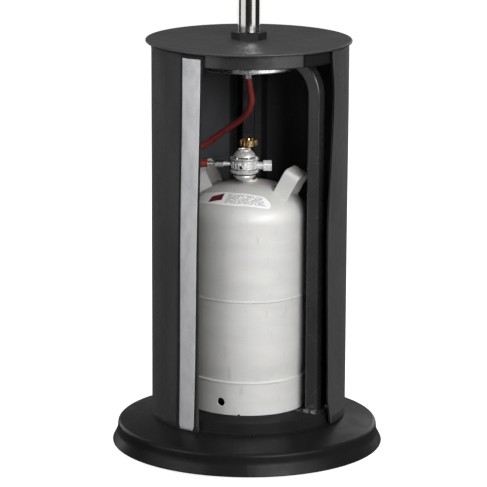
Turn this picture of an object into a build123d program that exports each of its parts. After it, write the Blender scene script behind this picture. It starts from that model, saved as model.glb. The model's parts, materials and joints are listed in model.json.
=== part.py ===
"""Gas patio heater: ballasted base, bottle bay with a fabric curtain, steel post and burner head.

Millimetres, +Z up, origin on the floor under the middle of the base, the bay's opening facing -Y.
An azimuth is counted in degrees from the front (-Y) towards +X.
"""

import math
import os

from build123d import *

# ---------------------------------------------------------------- driving dimensions
SHEET = 1.5  # painted sheet steel
THIN_SHEET = 1.2
GAP = 0.3  # running gap between pieces that move past each other

BASE_RADIUS = 260.5
BASE_EDGE = 6.5  # the cover's lower edge
BASE_SHOULDER_RADIUS = 249.5
BASE_SHOULDER_TOP = 47.0
BASE_STEP_RADIUS = 184.0
BASE_STEP_TOP = 63.5
PLINTH_RADIUS = 173.2
PLINTH_TOP = 84.0
FOOT_HEIGHT = 8.0
FOOT_CIRCLE = 195.0

LEG_AZIMUTHS = {"right": 60, "left": -60, "back": 180}
LEG_RADIUS = 146.0
LEG_SIDE = 25.0
LEG_WALL = 1.5
LEG_CORNER = 4.0
LEG_BEND = 64.0
LEG_TOP = 771.5
FOOT_PLATE = 3.0

DISH_RADIUS = 95.0
DISH_BOTTOM = 736.0
DISH_RIM = 744.3
HUB_PLATE_RADIUS = 100.0
HUB_PLATE = 3.0
LID_RADIUS = 195.5
LID_TOP = 790.0
APRON_RADIUS = 180.0
APRON_BOTTOM = 758.0

POST_RADIUS = 21.2
POST_WALL = 1.2
POST_BOTTOM = 752.0
HEAD_BOTTOM = 1700.0

BOTTLE_RADIUS = 114.3
BOTTLE_WALL = 2.4
FOOT_RING_TOP = 149.0
BOTTLE_SEAM = 304.5
BOTTLE_SHOULDER = 476.0
BOTTLE_NECK = 518.0
VALVE_OUTLET_HEIGHT = 549.0
HANDWHEEL_RADIUS = 16.5

REGULATOR_X = -7.6
REGULATOR_Y = -38.0
GAS_LINE_HEIGHT = 557.0
HOSE_RADIUS = 6.0
HOSE_TOP = 714.0

CURTAIN_INNER = 183.0
CURTAIN_CLOTH = 2.0
CURTAIN_BOTTOM = 65.0
CURTAIN_TOP = 783.0
CURTAIN_START = 56.0  # the fixed panel's right-hand edge
CURTAIN_END = 330.5  # its left-hand edge, round the back
STRIP_WIDTH = 13.0  # degrees
FLAP_INNER = 187.2
FLAP_CLOTH = 1.6
FLAP_START = 57.5
FLAP_WIDTH = 110.0  # degrees

HOUSING_RADIUS = 65.0
HOUSING_BOTTOM = 1722.0
HOUSING_TOP = 1878.0
KNOB_HEIGHT = 1786.0
IGNITER_HEIGHT = 1842.0
SCREEN_FOOT = 1884.0
SCREEN_TOP = 2095.0
REFLECTOR_RADIUS = 390.0
REFLECTOR_RIM = 2124.0
REFLECTOR_TOP = 2180.0

# The hose's route, from the bottle regulator round the back of the bay to the hub above it.
HOSE_ROUTE = [
    (-77.0, REGULATOR_Y, GAS_LINE_HEIGHT),
    (-123, REGULATOR_Y, GAS_LINE_HEIGHT),
    (-161, -6, 553),
    (-162, 48, 546),
    (-130, 88, 543),
    (-84, 96, 566),
    (-43, 72, 603),
    (-8, 37, 631),
    (8, 12, 666),
    (2, 1, 697),
    (0, 0, HOSE_TOP),
]

BOTTOM = (Align.CENTER, Align.CENTER, Align.MIN)


# ---------------------------------------------------------------- shared shapes
def tube(radius, low, high, hole=0.0, x=0.0, y=0.0):
    """An upright rod or disc, or a tube if it has a hole."""
    body = Pos(x, y, low) * Cylinder(radius, high - low, align=BOTTOM)
    if hole:
        body -= Pos(x, y, low) * Cylinder(hole, high - low, align=BOTTOM)
    return body


def rod(radius, start, end, hole=0.0):
    """A straight rod or tube between two points."""
    run = Vector(*end) - Vector(*start)
    body = Cylinder(radius, run.length, align=BOTTOM)
    if hole:
        body -= Cylinder(hole, run.length, align=BOTTOM)
    return Plane(origin=start, z_dir=run) * body


def turned(*outline):
    """A solid of revolution about Z from (radius, height) points."""
    return revolve(Plane.XZ * make_face(Polyline(*outline, close=True)), Axis.Z)


def pressed(outline, bends, thickness=SHEET, side=Side.LEFT, start=0.0, arc=360.0):
    """Sheet metal turned about Z: a line of (radius, height) points with rounded bends, thickened."""
    skin = offset(FilletPolyline(*outline, radius=bends), thickness, side=side)
    wall = revolve(Plane.XZ * make_face(skin), Axis.Z, arc)
    return Rot(0, 0, start - 90) * wall


def round_wall(inner, thickness, low, high, start, end):
    """Part of an upright round wall, between two azimuths."""
    section = Pos(inner + thickness / 2, (low + high) / 2) * Rectangle(thickness, high - low)
    return Rot(0, 0, start - 90) * revolve(Plane.XZ * section, Axis.Z, end - start)


def placed(azimuth, radius, height, shape, along=0.0):
    """A shape moved out from the axis, and along the wall, then turned to an azimuth."""
    return Rot(0, 0, azimuth) * Pos(along, -radius, height) * shape


def hex_nut(across, low, high, hole):
    """A hexagon nut on the Z axis."""
    body = extrude(Plane.XY.offset(low) * RegularPolygon(across / 2, 6, major_radius=False), high - low)
    return body - tube(hole, low, high)


def bolt(head_radius, head, shank_radius, shank):
    """A screw standing on Z = 0: a hexagon head above it and the shank below."""
    top = extrude(RegularPolygon(head_radius, 6), head)
    return top + Pos(0, 0, -shank) * Cylinder(shank_radius, shank, align=BOTTOM)


def group(shapes):
    """Separate solids kept as one node."""
    solids = [solid for shape in shapes for solid in shape.solids()]
    return Compound(children=solids) if len(solids) > 1 else solids[0]


# ---------------------------------------------------------------- base
BASE_PLATE_TOP = FOOT_HEIGHT + 2
BALLAST_TOP = 42.0
TIE_RADIUS = 110.0
TIE_AZIMUTHS = (0, 120, 240)
FOOT_BOLTS = [(along, out) for along in (-24, 24) for out in (-2, 14)]


def make_base():
    cover = [
        (247, BASE_EDGE),
        (BASE_RADIUS + 0.9, BASE_EDGE),
        (BASE_SHOULDER_RADIUS + 1.5, 28),
        (BASE_SHOULDER_RADIUS, BASE_SHOULDER_TOP),
        (BASE_STEP_RADIUS, BASE_STEP_TOP),
        (150, BASE_STEP_TOP),
    ]
    plinth_line = [
        (182, BASE_STEP_TOP + SHEET),
        (176, BASE_STEP_TOP + SHEET),
        (PLINTH_RADIUS, PLINTH_TOP),
        (20, PLINTH_TOP),
    ]
    plinth = pressed(plinth_line, [1.6, 2.2])
    ballast = tube(232, BASE_PLATE_TOP, BALLAST_TOP, hole=70)
    plate = tube(243, FOOT_HEIGHT, BASE_PLATE_TOP)
    for azimuth in TIE_AZIMUTHS:
        plate += placed(azimuth, TIE_RADIUS, 0, tube(4, FOOT_HEIGHT, PLINTH_TOP - SHEET))
        ballast -= placed(azimuth, TIE_RADIUS, 0, tube(5, BASE_PLATE_TOP, BALLAST_TOP))
    for azimuth in LEG_AZIMUTHS.values():
        for along, out in FOOT_BOLTS:
            plinth -= placed(azimuth, LEG_RADIUS + out, PLINTH_TOP, Cylinder(3.3, 10), along)
    pad = Cylinder(16, FOOT_HEIGHT, align=BOTTOM)
    return {
        "base_cover": pressed(cover, [1.8, 20, 8, 6]),
        "base_plate": plate,
        "ballast_ring": ballast,
        "rubber_feet": group([placed(azimuth, FOOT_CIRCLE, 0, pad) for azimuth in range(0, 360, 60)]),
        "plinth": plinth,
    }


# ---------------------------------------------------------------- bent legs
def make_legs():
    foot_top = PLINTH_TOP + FOOT_PLATE
    centre_top = LEG_TOP - LEG_SIDE / 2
    path = Plane.XZ * FilletPolyline(
        (LEG_RADIUS, foot_top), (LEG_RADIUS, centre_top), (27, centre_top), radius=LEG_BEND
    )
    section = Plane((LEG_RADIUS, 0, foot_top))
    inner_side = LEG_SIDE - 2 * LEG_WALL
    leg = sweep(section * RectangleRounded(LEG_SIDE, LEG_SIDE, LEG_CORNER), path)
    leg -= sweep(section * RectangleRounded(inner_side, inner_side, LEG_CORNER - LEG_WALL), path)
    plate = Pos(0, 0, FOOT_PLATE / 2) * Box(62, 44, FOOT_PLATE)
    for along, out in FOOT_BOLTS:
        plate -= Pos(along, -out, FOOT_PLATE / 2) * Cylinder(3.3, FOOT_PLATE)
    leg += placed(90, LEG_RADIUS, PLINTH_TOP, plate)
    nodes = {}
    bolts = []
    for name, azimuth in LEG_AZIMUTHS.items():
        nodes[f"leg_{name}"] = Rot(0, 0, azimuth - 90) * leg
        for along, out in FOOT_BOLTS:
            bolts.append(placed(azimuth, LEG_RADIUS + out, foot_top, bolt(5.5, 4, 3, 10), along))
    nodes["foot_bolts"] = group(bolts)
    return nodes


# ---------------------------------------------------------------- hub, lid and post
SOCKET_RADIUS = 25.0
SOCKET_TOP = 800.0
STANDOFF_RADIUS = 85.0
HUB_BOLT_RADIUS = 60.0
POST_SCREW_HEIGHT = 780.0
COLLAR_RADIUS = 33.5  # over the corners
COLLAR_TOP = 805.0


def make_hub():
    dish = pressed(
        [(8.3, DISH_BOTTOM), (DISH_RADIUS, DISH_BOTTOM), (DISH_RADIUS, DISH_RIM)], [2.5]
    )
    plate_top = LEG_TOP + HUB_PLATE
    plate = tube(HUB_PLATE_RADIUS, LEG_TOP, plate_top, hole=SOCKET_RADIUS + 0.1)
    lid_under = LID_TOP - THIN_SHEET
    hub_bolts = []
    for azimuth in TIE_AZIMUTHS:
        plate += placed(azimuth, STANDOFF_RADIUS, 0, tube(7, plate_top, lid_under))
        screw = Cylinder(3, plate_top + 4 - DISH_BOTTOM, align=BOTTOM)
        screw += Pos(0, 0, -3) * Cylinder(6, 3, align=BOTTOM)
        hub_bolts.append(placed(azimuth, HUB_BOLT_RADIUS, DISH_BOTTOM, screw))
        dish -= placed(azimuth, HUB_BOLT_RADIUS, DISH_BOTTOM, Cylinder(3.2, 8))
        plate -= placed(azimuth, HUB_BOLT_RADIUS, LEG_TOP, Cylinder(3.2, 8))
    return {
        "hub_dish": dish,
        "hub_plate": plate,
        "hub_bolts": group(hub_bolts),
    }


def make_lid():
    lid = [(189, 784.5), (LID_RADIUS, 784.5), (LID_RADIUS, LID_TOP), (SOCKET_RADIUS + 0.6, LID_TOP)]
    apron = [(172, APRON_BOTTOM), (APRON_RADIUS, APRON_BOTTOM), (APRON_RADIUS, LID_TOP - THIN_SHEET)]
    return {
        "lid": pressed(lid, [2.6, 2.6], THIN_SHEET),
        "apron_ring": pressed(apron, [2.5], THIN_SHEET),
    }


def make_post():
    socket = tube(SOCKET_RADIUS, DISH_BOTTOM + SHEET, SOCKET_TOP, hole=POST_RADIUS + 0.3)
    post = tube(POST_RADIUS, POST_BOTTOM, HOUSING_BOTTOM, hole=POST_RADIUS - POST_WALL)
    screws = []
    for azimuth in (30, 150, 270):
        hole = placed(azimuth, POST_RADIUS, POST_SCREW_HEIGHT, Rot(90, 0, 0) * Cylinder(3.2, 20))
        socket -= hole
        post -= hole
        screw = rod(3, (0, -18.5, POST_SCREW_HEIGHT), (0, -SOCKET_RADIUS, POST_SCREW_HEIGHT))
        screw += rod(5, (0, -SOCKET_RADIUS, POST_SCREW_HEIGHT), (0, -SOCKET_RADIUS - 4, POST_SCREW_HEIGHT))
        screws.append(Rot(0, 0, azimuth) * screw)
    collar = Plane.XY.offset(LID_TOP) * RegularPolygon(COLLAR_RADIUS, 6)
    nut = extrude(collar, COLLAR_TOP - LID_TOP)
    nut -= tube(SOCKET_RADIUS + GAP, LID_TOP, SOCKET_TOP + 0.2)
    nut -= tube(POST_RADIUS + GAP, SOCKET_TOP, COLLAR_TOP)
    nut = chamfer(nut.faces().sort_by(Axis.Z)[-1].outer_wire().edges(), 1.6)
    return {"post_socket": socket, "post": post, "post_screws": group(screws), "collar_nut": nut}


# ---------------------------------------------------------------- gas line in the post
PIPE_RADIUS = 4.0
FITTING_BOTTOM = 722.0
GAS_VALVE_Y = -42.0
GAS_VALVE_BOTTOM = 1768.0
GAS_VALVE_TOP = 1806.0


def bent_pipe(points, bend):
    path = FilletPolyline(*points, radius=bend)
    section = Plane(origin=path @ 0, z_dir=path % 0)
    return sweep(section * Circle(PIPE_RADIUS), path) - sweep(section * Circle(PIPE_RADIUS - 1), path)


def make_gas_line():
    dish_top = DISH_BOTTOM + SHEET
    fitting = turned(
        (3, FITTING_BOTTOM),
        (8, FITTING_BOTTOM),
        (8, dish_top),
        (11, dish_top),
        (11, dish_top + 6),
        (8, dish_top + 6),
        (8, POST_BOTTOM),
        (3, POST_BOTTOM),
    )
    nut = hex_nut(19, HOSE_TOP, DISH_BOTTOM, 3)
    nut -= tube(8.05, FITTING_BOTTOM, DISH_BOTTOM)
    riser = [
        (0, 0, POST_BOTTOM),
        (0, 0, GAS_VALVE_BOTTOM - 33),
        (0, GAS_VALVE_Y, GAS_VALVE_BOTTOM - 17),
        (0, GAS_VALVE_Y, GAS_VALVE_BOTTOM),
    ]
    return {
        "bulkhead_fitting": fitting,
        "hose_nut_upper": nut,
        "gas_riser_pipe": bent_pipe(riser, 12),
    }


# ---------------------------------------------------------------- gas bottle
SHOULDER = [
    (13.5, BOTTLE_NECK),
    (62, BOTTLE_NECK - 6),
    (BOTTLE_RADIUS, BOTTLE_SHOULDER),
    (BOTTLE_RADIUS, FOOT_RING_TOP + 32),
    (BOTTLE_RADIUS - 2.8, FOOT_RING_TOP),
]
SHOULDER_BENDS = [110, 42, 320]
LABEL_HEIGHT = 495.5
LABEL_WIDTH = 18.5
LABEL_FILM = 0.4
LABEL_START = -62.0
LABEL_SPAN = 85.0  # degrees
EAR_AZIMUTH = 68.0  # the right-hand ear's; the other is opposite
EAR_LEAN = 29.0  # degrees outwards
EAR_STRIP = 3.0
EAR_WIDTH = 31.0
EAR_HALF_SPAN = 28.5
EAR_TOP = 559.0
EAR_REACH = 52.0  # out to the strip's inner edge, at the height of EAR_PIVOT
EAR_PIVOT = 486.0
HANDWHEEL_BOTTOM = 585.0
HANDWHEEL_TOP = 596.0
HANDWHEEL_TEETH = 14
GLAND_BOTTOM = 562.0
GLAND_TOP = 574.0
SPINDLE_SEAT = 566.0


def make_bottle_shell():
    wall = pressed(SHOULDER, SHOULDER_BENDS, BOTTLE_WALL, Side.RIGHT)
    foot_inner = BOTTLE_RADIUS - 3.2
    bowl = [(foot_inner, FOOT_RING_TOP + 1), (foot_inner, 124), (50, 106), (0.01, 106)]
    lower = pressed(bowl, [30, 90], BOTTLE_WALL, Side.RIGHT) + tube(1, 106, 106 + BOTTLE_WALL)
    bead = turned(
        (BOTTLE_RADIUS - 1, BOTTLE_SEAM - 3),
        (BOTTLE_RADIUS + 0.6, BOTTLE_SEAM - 1.5),
        (BOTTLE_RADIUS + 0.9, BOTTLE_SEAM),
        (BOTTLE_RADIUS + 0.5, BOTTLE_SEAM + 2.5),
        (BOTTLE_RADIUS - 1, BOTTLE_SEAM + 4.5),
    )
    boss = tube(18, BOTTLE_NECK - 12, BOTTLE_NECK + 3, hole=12.6)
    return wall + lower + bead + boss


def bottle_body():
    """The bottle's outside without its bore, for trimming what is welded to it."""
    line = FilletPolyline(*SHOULDER, radius=SHOULDER_BENDS)
    start, end = line @ 0, line @ 1
    closing = Polyline((end.X, end.Y), (0, end.Y), (0, start.Y), (start.X, start.Y))
    return revolve(Plane.XZ * make_face(line + closing), Axis.Z)


def make_ear(body):
    """A bent strip welded to the shoulder, leaning outwards."""
    half, foot = EAR_HALF_SPAN, EAR_PIVOT - 16
    loop = FilletPolyline((-half, foot), (-half, EAR_TOP), (half, EAR_TOP), (half, foot), radius=9)
    strip = Plane.YZ * make_face(offset(loop, EAR_STRIP, side=Side.RIGHT))
    ear = extrude(strip, EAR_WIDTH)
    ear = Pos(EAR_REACH, 0, EAR_PIVOT) * Rot(0, EAR_LEAN, 0) * Pos(0, 0, -EAR_PIVOT) * ear
    return Rot(0, 0, EAR_AZIMUTH - 90) * (ear - body)


def make_label():
    """A thin printed band on the left and front of the shoulder."""
    skin = make_face(offset(FilletPolyline(*SHOULDER, radius=SHOULDER_BENDS), LABEL_FILM, side=Side.LEFT))
    skin &= Pos(0, LABEL_HEIGHT) * Rectangle(3 * BOTTLE_RADIUS, LABEL_WIDTH)
    return Rot(0, 0, LABEL_START - 90) * revolve(Plane.XZ * skin, Axis.Z, LABEL_SPAN)


def make_bottle():
    foot = turned(
        (BOTTLE_RADIUS - 3, PLINTH_TOP),
        (BOTTLE_RADIUS, PLINTH_TOP),
        (BOTTLE_RADIUS, FOOT_RING_TOP - 5),
        (BOTTLE_RADIUS + 0.7, FOOT_RING_TOP - 3),
        (BOTTLE_RADIUS + 0.5, FOOT_RING_TOP - 1),
        (BOTTLE_RADIUS - 0.5, FOOT_RING_TOP),
        (BOTTLE_RADIUS - 3, FOOT_RING_TOP),
    )
    drain = Rot(90, 0, 0) * Cylinder(8, 20)
    notch = Rot(90, 0, 0) * Cylinder(2.5, 20)
    for azimuth in (-26, 94, 214):
        foot -= placed(azimuth, BOTTLE_RADIUS, 108, drain)
        foot -= placed(azimuth + 18, BOTTLE_RADIUS, PLINTH_TOP, notch)
    ear = make_ear(bottle_body())
    return {
        "bottle_shell": make_bottle_shell(),
        "bottle_foot_ring": foot,
        "bottle_ears": group([ear, Rot(0, 0, 180) * ear]),
        "bottle_label": make_label(),
    }


def make_valve():
    neck = turned(
        (3, BOTTLE_NECK - 14),
        (12.5, BOTTLE_NECK - 14),
        (12.5, BOTTLE_NECK + 3),
        (15, BOTTLE_NECK + 3),
        (15, BOTTLE_NECK + 10),
        (10, BOTTLE_NECK + 12),
        (10, GLAND_BOTTOM),
        (8.5, GLAND_BOTTOM),
        (8.5, GLAND_TOP),
        (3.9, GLAND_TOP),
        (3.9, SPINDLE_SEAT),
        (3, SPINDLE_SEAT),
    )
    outlet = rod(8, (0, 0, VALVE_OUTLET_HEIGHT), (0, -16, VALVE_OUTLET_HEIGHT))
    bore = rod(3, (0, 0, VALVE_OUTLET_HEIGHT), (0, -16, VALVE_OUTLET_HEIGHT))
    body = neck + (outlet - tube(5, BOTTLE_NECK, GLAND_BOTTOM)) - bore
    wheel = tube(HANDWHEEL_RADIUS, HANDWHEEL_BOTTOM, HANDWHEEL_TOP)
    notch = tube(1.9, HANDWHEEL_BOTTOM, HANDWHEEL_TOP)
    for tooth in range(HANDWHEEL_TEETH):
        wheel -= placed(tooth * 360 / HANDWHEEL_TEETH, HANDWHEEL_RADIUS + 0.4, 0, notch)
    wheel -= tube(12, HANDWHEEL_TOP - 3, HANDWHEEL_TOP, hole=5)
    wheel += tube(6.5, GLAND_TOP + 2, HANDWHEEL_BOTTOM)
    wheel -= tube(3.5, GLAND_TOP + 2, HANDWHEEL_TOP)
    spindle = tube(3.5, SPINDLE_SEAT + 1, HANDWHEEL_TOP)
    spindle += Pos(0, 0, HANDWHEEL_TOP) * turned((0, 0), (4.5, 0), (4, 3), (0, 4))
    return {
        "bottle_valve_body": body,
        "valve_spindle": spindle,
        "valve_handwheel": wheel,
    }


# ---------------------------------------------------------------- bottle regulator and hose
REGULATOR_RADIUS = 25.0
REGULATOR_SKIRT = 538.8
REGULATOR_SEAM = 566.0  # where the cap meets the body
REGULATOR_TOP = 584.5
FLANGE_RADIUS = 27.5
CAP_RADIUS = 19.5
CAP_FLANGE = 3.5
CAP_SCREW_AZIMUTHS = (20, 80, 260, 320)
SIDE_PLUG_HEIGHT = 553.5
PLUG_GROOVES = 18
INLET_FACE = -22.0  # Y of the flat that the union nut meets
OUTLET_NECK_END = -47.0


def make_regulator():
    """The regulator on its own upright axis, then moved beside the valve outlet."""
    skirt, seam, top = REGULATOR_SKIRT, REGULATOR_SEAM, REGULATOR_TOP
    body = turned(
        (0, skirt),
        (20, skirt),
        (FLANGE_RADIUS - 1.5, skirt + 2),
        (FLANGE_RADIUS, skirt + 5),
        (REGULATOR_RADIUS, skirt + 8),
        (REGULATOR_RADIUS, seam - 4),
        (FLANGE_RADIUS - 1, seam - 2.5),
        (FLANGE_RADIUS - 1, seam),
        (0, seam),
    )
    body += turned((0, skirt - 11), (12, skirt - 11), (19.5, skirt - 6), (19.5, skirt), (0, skirt))
    rear = Pos(0, INLET_FACE + 40 - REGULATOR_Y, (skirt + seam) / 2) * Box(80, 80, 34)
    neck_end = OUTLET_NECK_END - REGULATOR_X
    bosses = rod(7, (20, 0, SIDE_PLUG_HEIGHT), (36, 0, SIDE_PLUG_HEIGHT))
    bosses += rod(3.8, (neck_end, 0, GAS_LINE_HEIGHT), (-20, 0, GAS_LINE_HEIGHT))
    body = body - rear + bosses - tube(17, seam - 10, seam)
    body -= rod(3.2, (-5.5, -30, seam - 5), (-5.5, -22, seam - 5))
    cap = turned(
        (13, seam),
        (FLANGE_RADIUS, seam),
        (FLANGE_RADIUS, seam + 2.5),
        (FLANGE_RADIUS - 1, seam + CAP_FLANGE),
        (CAP_RADIUS, seam + CAP_FLANGE),
        (CAP_RADIUS, top - 8),
        (16, top - 4),
        (11, top - 1),
        (0, top),
        (0, top - 3.5),
        (10, top - 4.5),
        (13, top - 8),
    )
    screws = []
    for azimuth in CAP_SCREW_AZIMUTHS:
        screws.append(placed(azimuth, 22.5, seam + CAP_FLANGE, tube(2.6, 0, 2.2)))
    diaphragm = tube(11.5, seam + 0.5, seam + 1.4)
    spring = coil_spring(8.5, 0.9, seam + 2, top - 6.5)
    plug = rod(10, (36, 0, SIDE_PLUG_HEIGHT), (51.5, 0, SIDE_PLUG_HEIGHT))
    plug -= rod(3.2, (36, 0, SIDE_PLUG_HEIGHT), (44, 0, SIDE_PLUG_HEIGHT))
    for notch in range(PLUG_GROOVES):
        groove = Rot(360 / PLUG_GROOVES * notch, 0, 0) * rod(0.9, (36, 0, 10.2), (51.5, 0, 10.2))
        plug -= Pos(0, 0, SIDE_PLUG_HEIGHT) * groove
    local = {
        "regulator_body": body,
        "regulator_cap": cap,
        "regulator_screws": group(screws),
        "regulator_diaphragm": group([diaphragm, spring]),
        "regulator_side_plug": plug,
    }
    nodes = {name: Pos(REGULATOR_X, REGULATOR_Y, 0) * shape for name, shape in local.items()}
    face = Plane(origin=(0, INLET_FACE, VALVE_OUTLET_HEIGHT), z_dir=(0, 1, 0))
    nodes["regulator_union_nut"] = face * (extrude(RegularPolygon(12, 6), 12) - Cylinder(8.1, 40))
    return nodes


def coil_spring(radius, wire, low, high):
    """A compression spring between two heights, drawn as one helix."""
    coils = 4.5
    path = Helix(pitch=(high - low - 2 * wire) / coils, height=high - low - 2 * wire, radius=radius)
    section = Plane(origin=path @ 0, z_dir=path % 0) * Circle(wire)
    return Pos(0, 0, low + wire) * sweep(section, path, is_frenet=True)


def hose_radii(route):
    """Each corner's arc: 0.45 of the shorter run beside it, over the tangent of half the turn."""
    points = [Vector(*point) for point in route]
    radii = []
    for before, corner, after in zip(points, points[1:], points[2:]):
        run_in, run_out = corner - before, after - corner
        half_turn = math.radians(run_in.get_angle(run_out) / 2)
        radii.append(0.45 * min(run_in.length, run_out.length) / math.tan(half_turn))
    return radii


def make_hose():
    path = FilletPolyline(*HOSE_ROUTE, radius=hose_radii(HOSE_ROUTE))
    section = Plane(origin=path @ 0, z_dir=path % 0)
    hose = sweep(section * Circle(HOSE_RADIUS), path) - tube(20, HOSE_TOP, HOSE_TOP + 10)
    start = HOSE_ROUTE[0][0]
    line = GAS_LINE_HEIGHT

    def along(radius, near, far):
        return rod(radius, (near, REGULATOR_Y, line), (far, REGULATOR_Y, line))

    stem = along(3.3, -62, start) + along(5, start + 2, start)
    nut_face = Plane(origin=(OUTLET_NECK_END, REGULATOR_Y, line), z_dir=(-1, 0, 0))
    nut = nut_face * extrude(RegularPolygon(6.6, 6), 15)
    return {
        "gas_hose": hose,
        "hose_nut_lower": nut,
        "hose_tail": stem,
        "hose_cuff": hose_cuff(start),
    }


def hose_cuff(start):
    """The moulded sleeve over the first stretch of the hose."""
    begin, end = (start, REGULATOR_Y, GAS_LINE_HEIGHT), (start - 17, REGULATOR_Y, GAS_LINE_HEIGHT)
    return rod(7.8, begin, end, hole=HOSE_RADIUS + 0.02)


# ---------------------------------------------------------------- fabric curtain
def make_curtain():
    outer = CURTAIN_INNER + CURTAIN_CLOTH
    tape = CURTAIN_INNER - APRON_RADIUS
    strip_start = CURTAIN_END - 1 - STRIP_WIDTH
    flap_end = FLAP_START + FLAP_WIDTH
    return {
        "curtain_panel": round_wall(
            CURTAIN_INNER, CURTAIN_CLOTH, CURTAIN_BOTTOM, CURTAIN_TOP, CURTAIN_START, CURTAIN_END
        ),
        "apron_hook_tape": round_wall(APRON_RADIUS, tape, 760, 782, 34, CURTAIN_END),
        "loop_strip": round_wall(outer, 1.2, CURTAIN_BOTTOM + 1, 778, strip_start, CURTAIN_END - 1),
        "curtain_flap": round_wall(
            FLAP_INNER, FLAP_CLOTH, CURTAIN_BOTTOM + 1, CURTAIN_TOP - 1, FLAP_START, flap_end
        ),
        "flap_hook_tape": round_wall(FLAP_INNER - 0.7, 0.7, 80, 776, FLAP_START + 1, FLAP_START + 12),
    }


# ---------------------------------------------------------------- burner head
VENT_COUNT = 24
ROD_CIRCLE = 70.0
ROD_TOP = 2192.0


def make_control():
    collar = tube(32, HEAD_BOTTOM, HOUSING_BOTTOM, hole=POST_RADIUS + 0.1)
    collar += tube(HOUSING_RADIUS - THIN_SHEET, HOUSING_BOTTOM, HOUSING_BOTTOM + 2, hole=12)
    housing = tube(HOUSING_RADIUS, HOUSING_BOTTOM, HOUSING_TOP, hole=HOUSING_RADIUS - THIN_SHEET)
    front = -HOUSING_RADIUS
    housing -= rod(6.5, (0, front - 5, KNOB_HEIGHT), (0, front + 15, KNOB_HEIGHT))
    housing -= rod(8.6, (0, front - 5, IGNITER_HEIGHT), (0, front + 15, IGNITER_HEIGHT))
    vent = Rot(90, 0, 0) * extrude(SlotOverall(26, 6, rotation=90), 12, both=True)
    for slot in range(4, VENT_COUNT - 3):
        housing -= placed(slot * 360 / VENT_COUNT, HOUSING_RADIUS, 1850, vent)
    barrel = tube(HOUSING_RADIUS, HOUSING_BOTTOM, HOUSING_TOP)
    bezel = rod(30, (0, front - 6, KNOB_HEIGHT), (0, front + 20, KNOB_HEIGHT)) - barrel
    bezel -= rod(6.5, (0, front - 7, KNOB_HEIGHT), (0, front + 20, KNOB_HEIGHT))
    ring = rod(13, (0, front - 3, IGNITER_HEIGHT), (0, front + 20, IGNITER_HEIGHT)) - barrel
    ring -= rod(8.6, (0, front - 7, IGNITER_HEIGHT), (0, front + 20, IGNITER_HEIGHT))
    spindle = rod(4, (0, front - 19, KNOB_HEIGHT), (0, -54, KNOB_HEIGHT))
    knob = rod(22, (0, front - 30, KNOB_HEIGHT), (0, front - 11, KNOB_HEIGHT))
    knob = chamfer(knob.faces().sort_by(Axis.Y)[0].edges(), 1.5)
    knob += Pos(0, front - 33, KNOB_HEIGHT) * Box(9, 8, 38)
    knob -= rod(4 + GAP, (0, front - 19.5, KNOB_HEIGHT), (0, front - 10, KNOB_HEIGHT))
    valve = Pos(0, GAS_VALVE_Y, (GAS_VALVE_BOTTOM + GAS_VALVE_TOP) / 2) * Box(
        40, 28, GAS_VALVE_TOP - GAS_VALVE_BOTTOM
    )
    valve -= rod(4.6, (0, -57, KNOB_HEIGHT), (0, -48, KNOB_HEIGHT))
    button = rod(8, (0, front - 9, IGNITER_HEIGHT), (0, -58.5, IGNITER_HEIGHT))
    button = fillet(button.faces().sort_by(Axis.Y)[0].edges(), 1.5)
    piezo = rod(9, (0, -52, IGNITER_HEIGHT), (0, -14, IGNITER_HEIGHT))
    tilt = tube(11, HOUSING_BOTTOM + 2, HOUSING_BOTTOM + 30, x=34, y=24)
    return {
        "head_collar": collar,
        "control_housing": housing,
        "control_bezels": group([bezel, ring]),
        "control_spindle": spindle,
        "control_knob": knob,
        "gas_valve": valve,
        "igniter_button": button,
        "piezo_igniter": piezo,
        "tilt_switch": tilt,
    }


def make_burner():
    deck = tube(80, HOUSING_TOP, HOUSING_TOP + 2, hole=10)
    feed = [
        (-14, GAS_VALVE_Y, GAS_VALVE_TOP),
        (-14, GAS_VALVE_Y, GAS_VALVE_TOP + 52),
        (0, 0, GAS_VALVE_TOP + 62),
        (0, 0, HOUSING_TOP + 8),
    ]
    jet_foot = HOUSING_TOP + 8
    jet = turned((2, jet_foot), (9, jet_foot), (9, jet_foot + 12), (5, jet_foot + 22), (2, jet_foot + 22))
    burner = turned(
        (12, SCREEN_FOOT + 6),
        (15, SCREEN_FOOT + 6),
        (15, SCREEN_FOOT + 40),
        (52, SCREEN_FOOT + 70),
        (52, SCREEN_FOOT + 84),
        (49, SCREEN_FOOT + 84),
        (49, SCREEN_FOOT + 72),
        (12, SCREEN_FOOT + 42),
    )
    screen_wall = [(76, HOUSING_TOP + 2), (92, SCREEN_TOP)]
    screen = turned(*screen_wall, (91, SCREEN_TOP), (75, HOUSING_TOP + 2))
    cap = Pos(0, 0, SCREEN_TOP) * turned((0, 0), (94, 0), (94, 3), (60, 8), (0, 8))
    studs = []
    for azimuth in TIE_AZIMUTHS:
        cap += placed(azimuth, ROD_CIRCLE, 0, tube(8, SCREEN_TOP, SCREEN_TOP + 8))
        stud = tube(4, SCREEN_TOP + 8, ROD_TOP) + hex_nut(13, REFLECTOR_TOP, REFLECTOR_TOP + 7, 3.9)
        studs.append(placed(azimuth, ROD_CIRCLE, 0, stud))
    probe_low = HOUSING_TOP + 2
    pilot = tube(3, probe_low, SCREEN_FOOT + 60, x=-60, y=-12)
    thermocouple = tube(2, probe_low, SCREEN_FOOT + 66, x=-60, y=4)
    electrode = tube(2.4, probe_low, SCREEN_FOOT + 64, x=-58, y=18)
    return {
        "burner_deck": deck,
        "burner_feed_pipe": bent_pipe(feed, 12) + jet,
        "burner": burner,
        "emitter_screen": screen,
        "emitter_cap": cap,
        "reflector_studs": group(studs),
        "pilot_and_probes": group([pilot, thermocouple, electrode]),
    }


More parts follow.
